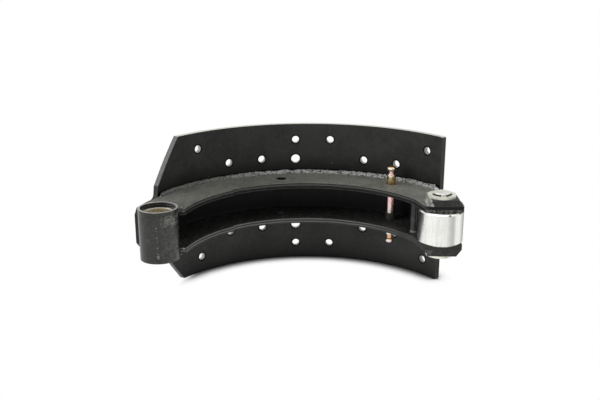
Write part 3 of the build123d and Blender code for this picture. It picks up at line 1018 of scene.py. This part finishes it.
# spring pin, a turned and yellow plated pin, with radius and height in millimetres
springPin = {
    "segments": 72,
    "profile": [
        (0.0, 44.5), (2.8, 44.48), (4.2, 44.3), (4.9, 43.9), (5.25, 43.3), (5.3, 42.4), (5.25, 41.2),
        (4.9, 40.5), (4.1, 40.0), (3.42, 39.6), (3.3, 39.0), (3.3, 38.2), (3.3, 37.2), (3.32, 36.2),
        (3.5, 35.7), (4.4, 35.4), (5.0, 35.1), (5.1, 34.6), (5.1, 29.5), (5.1, 24.0), (4.2, 24.0),
        (4.2, 17.9), (4.75, 17.9), (4.75, 2.0), (4.75, -9.8), (4.2, -9.8), (4.2, -35.4), (4.12, -35.7),
        (3.8, -35.95), (3.38, -36.3), (3.3, -36.8), (3.3, -40.2), (3.38, -40.7), (3.8, -41.1),
        (4.2, -41.4), (4.35, -41.9), (4.35, -44.3), (4.15, -45.0), (3.6, -45.5), (2.0, -45.7), (0.0, -45.7),
    ],
    "top": (0.7, 0.33, 0.1),
    "yellow": (0.72, 0.55, 0.28),
    "brown": (0.42, 0.27, 0.1),
    "brownSide": (1.2 * mm, 3.4 * mm),
    "pink": (0.9, 0.58, 0.6),
    "copper": (0.75, 0.42, 0.26),
    "silver": (0.88, 0.86, 0.78),
    "half": 45,
    # height in millimetres at which each tint is strongest
    "tints": [
        (-45.0, "pink"), (-43.2, "silver"), (-41.6, "copper"), (-39.0, "copper"), (-37.0, "copper"),
        (-35.7, "silver"), (-20.0, "yellow"), (-12.0, "silver"), (2.0, "pink"), (16.0, "pink"),
        (25.0, "brown"), (29.0, "yellow"), (32.0, "brown"), (34.6, "silver"), (36.4, "pink"), (39.4, "pink"),
        (40.8, "brown"), (42.0, "silver"), (43.4, "silver"), (44.2, "top"), (44.5, "yellow"),
    ],
}


def turnedMesh(name, profile, segments, centre):
    mesh = bpy.data.meshes.new(name)
    shape = bmesh.new()
    rings = []
    for radius, height in profile:
        if radius < 0.001:
            rings.append([shape.verts.new(centre + Vector((0, 0, height * mm)))])
            continue
        turns = [2 * math.pi * step / segments for step in range(segments)]
        spots = [Vector((radius * math.cos(turn), radius * math.sin(turn), height)) * mm for turn in turns]
        rings.append([shape.verts.new(centre + spot) for spot in spots])
    for above, below in zip(rings, rings[1:]):
        for step in range(segments):
            after = (step + 1) % segments
            if len(above) == 1:
                shape.faces.new((above[0], below[step], below[after]))
            elif len(below) == 1:
                shape.faces.new((above[after], above[step], below[0]))
            else:
                shape.faces.new((above[after], above[step], below[step], below[after]))
    bmesh.ops.recalc_face_normals(shape, faces=shape.faces)
    shape.to_mesh(mesh)
    shape.free()
    return mesh


def makeYellowZinc(look, centreX):
    material, tree, shader = newFinish("rainbowYellowZinc", metallic=1.0)
    where = axesOf(tree)
    half = look["half"]
    level = plus(where["Z"], wander(tree, 2.5 * mm, 260.0))
    rise = calc("DIVIDE", plus(level, half * mm), 2 * half * mm)
    stops = [((height + half) / (2 * half), look[name]) for height, name in look["tints"]]
    tint = colorRamp(rise, stops)
    film = cloud(tree, 420.0, 3.0)
    color = blendColor(spread(film, 0.52, 0.75, 0.0, 0.5), tint, look["yellow"])
    # browner on the side away from the light
    brown = times(spread(minus(where["X"], centreX), *look["brownSide"]), 0.75)
    color = blendColor(brown, color, look["brown"])
    wear = useGroup(tree, edgeWear, width=0.3 * mm, amount=0.3)
    color = blendColor(wear["mask"], color, look["silver"])
    finishSkin(shader, color, spread(film, 0.2, 0.8, 0.16, 0.38), film, 0.03 * mm, 0.5, wear)
    return material


pinLow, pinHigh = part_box("spring_pin")
pinCentre = (pinLow + pinHigh) / 2
pinMesh = turnedMesh("springPin", springPin["profile"], springPin["segments"], pinCentre)
keepPiece("springPin", pinMesh, makeYellowZinc(springPin, pinCentre.x), ["spring_pin"])
print("spring pin turned")

# weld beads
weldFinish = {
    "dark": (0.024, 0.024, 0.0235),
    "light": (0.19, 0.187, 0.175),
    "paintedGlint": (0.85, 0.85, 0.82),
    "quiet": (0.05, 0.047, 0.041),
    "quietTo": (15 * mm, 95 * mm),
    "bright": (40 * mm, 125 * mm),
    # lumps with painted glints: place in millimetres and size
    "lumps": [
        ((-7.5, 47.8, 24.8), 1.7), ((4.8, 79.0, 25.0), 1.5), ((22.6, 8.6, 24.5), 1.4),
        ((25.0, 4.7, 21.8), 1.5), ((24.9, -1.5, -17.5), 1.4), ((294.0, 82.0, 26.0), 4.2),
    ],
}
padWeldFinish = {
    **weldFinish,
    "dark": (0.06, 0.06, 0.057),
    "light": (0.4, 0.4, 0.38),
}
# radius, height, leg, ripple and steps in millimetres, the stretch in degrees
tableBead = {
    "radius": 180.0,
    "level": 24.0,
    "from": -65.2,
    "to": 51.2,
    "step": 0.42,
    "leg": 3.7,
    "sides": 11,
    "ripple": 1.5,
    "spatter": 10,
    "lumps": [(-6.5, 47.6, 24.4, 1.2), (-4.0, 51.5, 24.4, 0.8), (294.0, 82.0, 25.2, 2.4)],
    "seed": 5,
}
# nuggets: bearing, reach, height, size and seed
bossBead = {
    "radius": 20.5,
    "level": 24.0,
    "from": 9.5,
    "to": 125.0,
    "step": 0.35,
    "leg": 2.7,
    "sides": 9,
    "ripple": 1.2,
    "seed": 23,
    "upperNuggets": [
        (20.8, 24.2, 24.2, 1.3, 3.0), (10.6, 25.2, 21.8, 1.5, 8.0), (14.0, 23.6, 23.6, 1.2, 13.0),
    ],
    "lowerNuggets": [(-3.4, 24.9, 17.6, 1.4, 17.0), (4.0, 23.6, 17.6, 1.1, 21.0)],
}
padBead = {
    "leg": 2.3,
    "step": 0.3,
    "sides": 8,
    "ripple": 1.3,
    "seed": 61,
    "inset": 1.5,
}
lowerSeedShift = 40
lowerPadSeedShift = 9
# millimetres between a bead and the plates that it joins
rootGap = 0.02


def makeWeldFinish(look):
    material, tree, shader = newFinish("paintedWeld", specular=0.6)
    coarse = cloud(tree, 330.0, 3.0, 0.6)
    fine = cloud(tree, 1300.0, 3.0, 0.7)
    color = blendColor(spread(coarse, 0.36, 0.62), look["dark"], look["light"])
    run = axesOf(tree)["X"]
    color = blendColor(spread(run, *look["quietTo"], 0.2, 1.0), look["quiet"], color)
    # painted highlights: glints on the bead that grow towards the cam end, and on the listed lumps
    along = spread(run, *look["bright"], 0.1, 1.0)
    paintedGlint = times(spread(fine, 0.46, 0.6), spread(coarse, 0.36, 0.52))
    spots = [closeTo(tree, Vector(spot) * mm, size * mm, 0.3) for spot, size in look["lumps"]]
    paintedGlint = most(times(paintedGlint, along), times(most(*spots), 0.9))
    color = blendColor(paintedGlint, color, look["paintedGlint"])
    lumpy = plus(coarse, times(fine, 0.5))
    finishSkin(shader, color, spread(fine, 0.3, 0.7, 0.26, 0.6), lumpy, 0.35 * mm, 0.9)
    return material


def waver(spot, scale, seed):
    return noise.noise(Vector((spot * scale, seed * 7.31, seed * 1.7)))


def beadRow(shape, run, root, along, up):
    # one cross-section of the bead, bulging between its two legs
    seed = shape["seed"]
    leg = shape["leg"]
    fade = min(1.0, run / 4.0, (shape["length"] - run) / 4.0)
    fade = 0.35 + 0.65 * math.sqrt(max(fade, 0.0))
    legWeb = leg * (1 + 0.2 * waver(run, 0.16, seed) + 0.16 * waver(run, 0.75, seed + 3)) * fade
    legWall = leg * (1 + 0.22 * waver(run, 0.13, seed + 7) + 0.16 * waver(run, 0.8, seed + 9)) * fade
    row = [root - (along + up) * 0.3 * mm]
    for part in range(shape["sides"] + 1):
        share = part / shape["sides"]
        turn = share * math.pi / 2
        flat = along * legWeb * (1 - share) + up * legWall * share
        chevron = math.sin(math.pi * share)
        phase = (run + 0.9 * chevron + 0.5 * waver(run, 0.5, seed)) / shape["ripple"]
        ripple = abs(math.sin(math.pi * phase))
        swell = 0.34 + 0.16 * waver(run, 0.3, seed + 11) + 0.14 * (1 - ripple)
        pit = noise.noise(Vector((run * 1.3, share * 3.0, seed)))
        lump = leg * (swell * chevron * 0.62 + 0.10 * pit * (0.3 + chevron))
        outward = (along * math.cos(turn) + up * math.sin(turn)).normalized()
        row.append(root + (flat + outward * lump) * mm)
    return row


def beadMesh(name, shape, corner):
    # corner(run) gives the root point, the way along the web and the way up the wall
    mesh = bpy.data.meshes.new(name)
    build = bmesh.new()
    count = int(shape["length"] / shape["step"])
    rows = []
    for index in range(count + 1):
        run = index * shape["length"] / count
        row = beadRow(shape, run, *corner(run))
        rows.append([build.verts.new(point) for point in row])
    around = len(rows[0])
    for before, after in zip(rows, rows[1:]):
        for part in range(around):
            other = (part + 1) % around
            build.faces.new((before[part], after[part], after[other], before[other]))
    build.faces.new(rows[0])
    build.faces.new(list(reversed(rows[-1])))
    return mesh, build


def addDrop(build, spot, size, seed):
    # a drop of spatter, or a larger nugget of weld, a little flattened
    turned = bmesh.ops.create_icosphere(build, subdivisions=3 if size > 0.9 * mm else 2, radius=size)
    for vertex in turned["verts"]:
        way = vertex.co.normalized()
        swell = 1 + 0.28 * noise.noise(way * 1.7 + Vector((seed, 0, 0)))
        swell += 0.12 * noise.noise(way * 4.3 + Vector((0, seed, 0)))
        x, y, z = vertex.co
        vertex.co = Vector((x * swell, y * swell, z * swell * 0.8)) + spot


def finishBead(mesh, build):
    bmesh.ops.recalc_face_normals(build, faces=build.faces)
    build.to_mesh(mesh)
    build.free()
    return mesh


def bentBead(shape, side):
    # the bead's own length in millimetres and its seed on that side
    sweep = math.radians(shape["to"] - shape["from"])
    seed = shape["seed"] + (0 if side > 0 else lowerSeedShift)
    return {**shape, "length": sweep * shape["radius"], "seed": seed}


def angleAt(shape, run):
    return shape["from"] + (shape["to"] - shape["from"]) * run / shape["length"]


def drumPoint(radius, angle, height):
    turn = math.radians(angle)
    x = drumAxis.x + radius * mm * math.sin(turn)
    y = drumAxis.y + radius * mm * math.cos(turn)
    return Vector((x, y, height * mm))


def makeTableBead(name, shape, side):
    shape = bentBead(shape, side)

    def corner(run):
        angle = angleAt(shape, run)
        turn = math.radians(angle)
        root = drumPoint(shape["radius"] - rootGap, angle, side * (shape["level"] + rootGap))
        return root, Vector((-math.sin(turn), -math.cos(turn), 0)), Vector((0, 0, side))

    mesh, build = beadMesh(name, shape, corner)
    chance = random.Random(shape["seed"])
    for drop in range(shape["spatter"]):
        angle = chance.uniform(shape["from"], shape["to"])
        size = chance.uniform(0.22, 0.62)
        onWeb = chance.random() < 0.55
        reach = shape["leg"] + abs(chance.gauss(0, 5.5)) + 0.4
        if onWeb:
            spot = drumPoint(shape["radius"] - reach, angle, side * (shape["level"] + size * 0.25))
        else:
            spot = drumPoint(shape["radius"] - size * 0.25, angle, side * (shape["level"] + reach))
        addDrop(build, spot, size * mm, chance.random() * 50)
    for x, y, z, size in shape["lumps"]:
        addDrop(build, Vector((x, y, side * z)) * mm, size * mm, x)
    return finishBead(mesh, build)


def makeBossBead(name, shape, side):
    shape = bentBead(shape, side)

    def corner(run):
        turn = math.radians(angleAt(shape, run))
        outward = Vector((math.cos(turn), math.sin(turn), 0))
        height = side * (shape["level"] + rootGap)
        root = outward * (shape["radius"] + rootGap) * mm + Vector((0, 0, height * mm))
        return root, outward, Vector((0, 0, side))

    mesh, build = beadMesh(name, shape, corner)
    for bearing, reach, height, size, seed in shape["upperNuggets" if side > 0 else "lowerNuggets"]:
        turn = math.radians(bearing)
        reach *= mm
        spot = Vector((reach * math.cos(turn), reach * math.sin(turn), side * height * mm))
        addDrop(build, spot, size * mm, seed)
    return finishBead(mesh, build)


def makePadBead(name, shape, side, pad, web):
    # a short bead that holds the pad, not covered by any plain node
    padLow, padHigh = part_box(pad)
    webLow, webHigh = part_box(web)
    level = webHigh.z if side > 0 else webLow.z
    start = padLow.y + shape["inset"] * mm
    length = (padHigh.y - padLow.y) / mm - 2 * shape["inset"]
    seed = shape["seed"] + (0 if side > 0 else lowerPadSeedShift)

    def corner(run):
        return Vector((padLow.x, start + run * mm, level)), Vector((-1, 0, 0)), Vector((0, 0, side))

    return finishBead(*beadMesh(name, {**shape, "length": length, "seed": seed}, corner))


weldPaint = makeWeldFinish(weldFinish)
longBeads = [
    ("upperTableBead", makeTableBead, tableBead, 1, "upper_table_weld"),
    ("lowerTableBead", makeTableBead, tableBead, -1, "lower_table_weld"),
    ("upperBossBead", makeBossBead, bossBead, 1, "upper_boss_weld"),
    ("lowerBossBead", makeBossBead, bossBead, -1, "lower_boss_weld"),
]
for name, make, shape, side, node in longBeads:
    keepPiece(name, make(name, shape, side), weldPaint, [node], bend=60.0)
padWeldPaint = makeWeldFinish(padWeldFinish)
shortBeads = [
    ("upperPadBead", 1, "upper_roller_pad", "upper_web", padWeldPaint),
    ("lowerPadBead", -1, "lower_roller_pad", "lower_web", weldPaint),
]
for name, side, pad, web, paint in shortBeads:
    keepPiece(name, makePadBead(name, padBead, side, pad, web), paint, [], bend=60.0)
print("weld beads laid")
